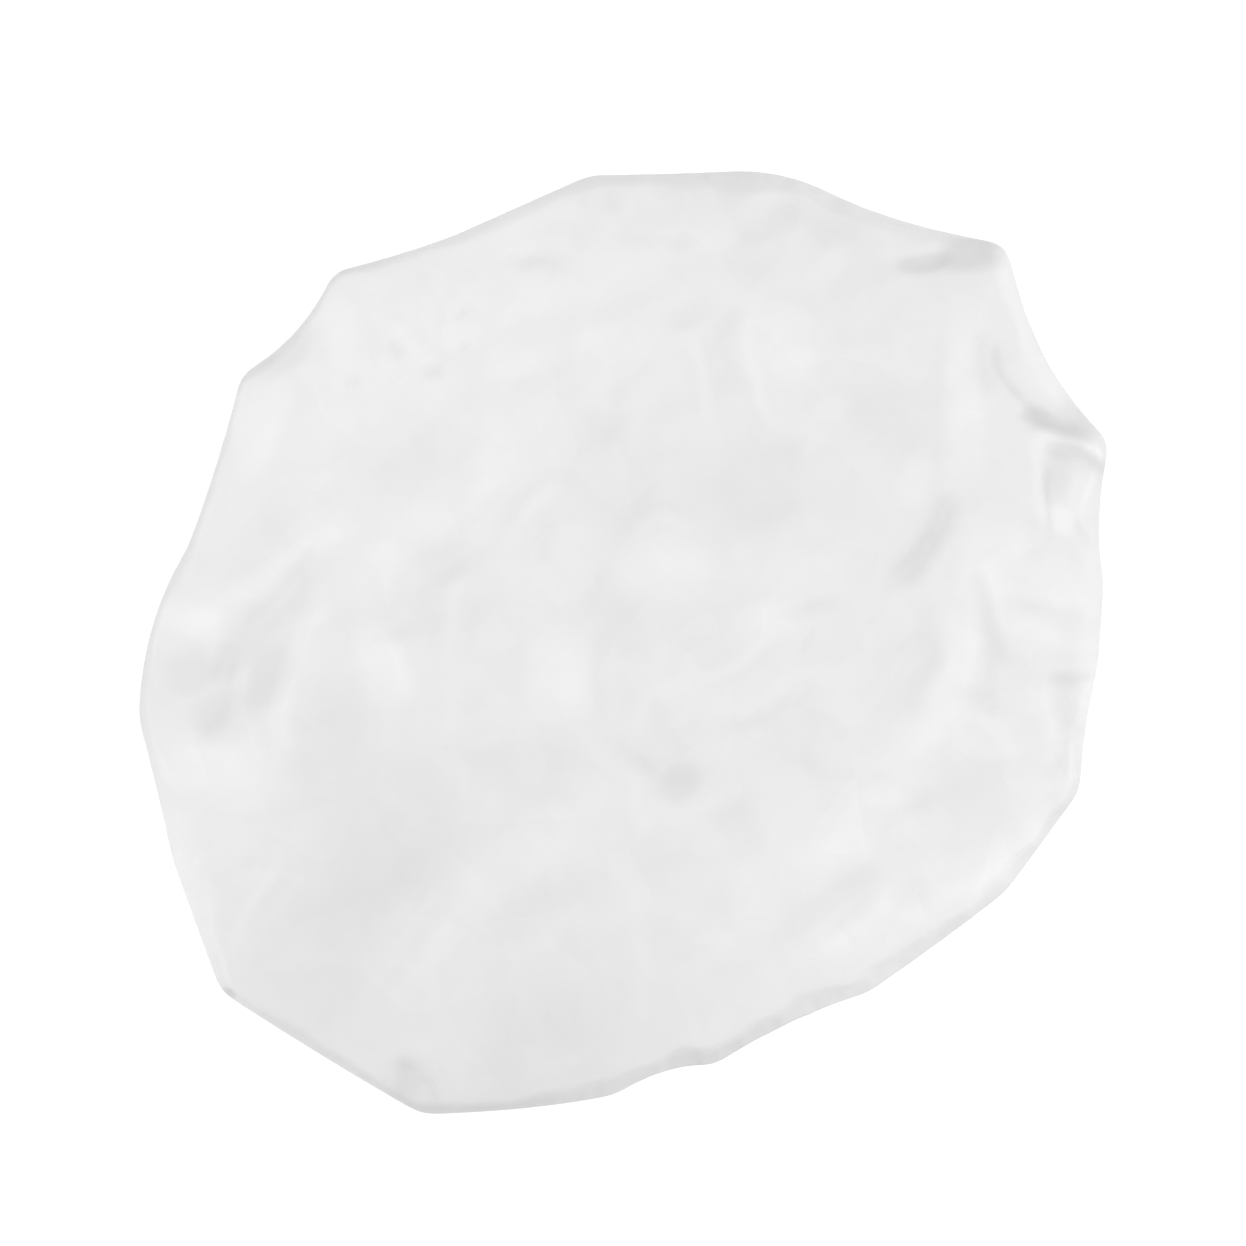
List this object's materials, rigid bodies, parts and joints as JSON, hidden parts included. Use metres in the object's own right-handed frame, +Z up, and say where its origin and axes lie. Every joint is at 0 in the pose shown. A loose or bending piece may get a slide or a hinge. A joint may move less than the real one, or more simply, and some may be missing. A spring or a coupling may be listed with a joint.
{
  "type": "shower cap",
  "caption": "Soft white plastic-film shower cap lying crown up, with a crumpled crown, a pleated underside and an elasticated opening.",
  "frame": {"origin": "on the table, under the centre of the cap's outline seen from above", "axes": "+Z up, out of the crown; +X along the slightly longer side of the outline; +Y towards the picture's top edge"},
  "size_m": [0.2892, 0.283, 0.0356],
  "materials": {
    "film": "smooth, soft satin film",
    "hem": "smooth satin film, ruched over elastic"
  },
  "bodies": {
    "root": {"crown": "film", "elastic_hem": "hem"}
  },
  "joints": []
}
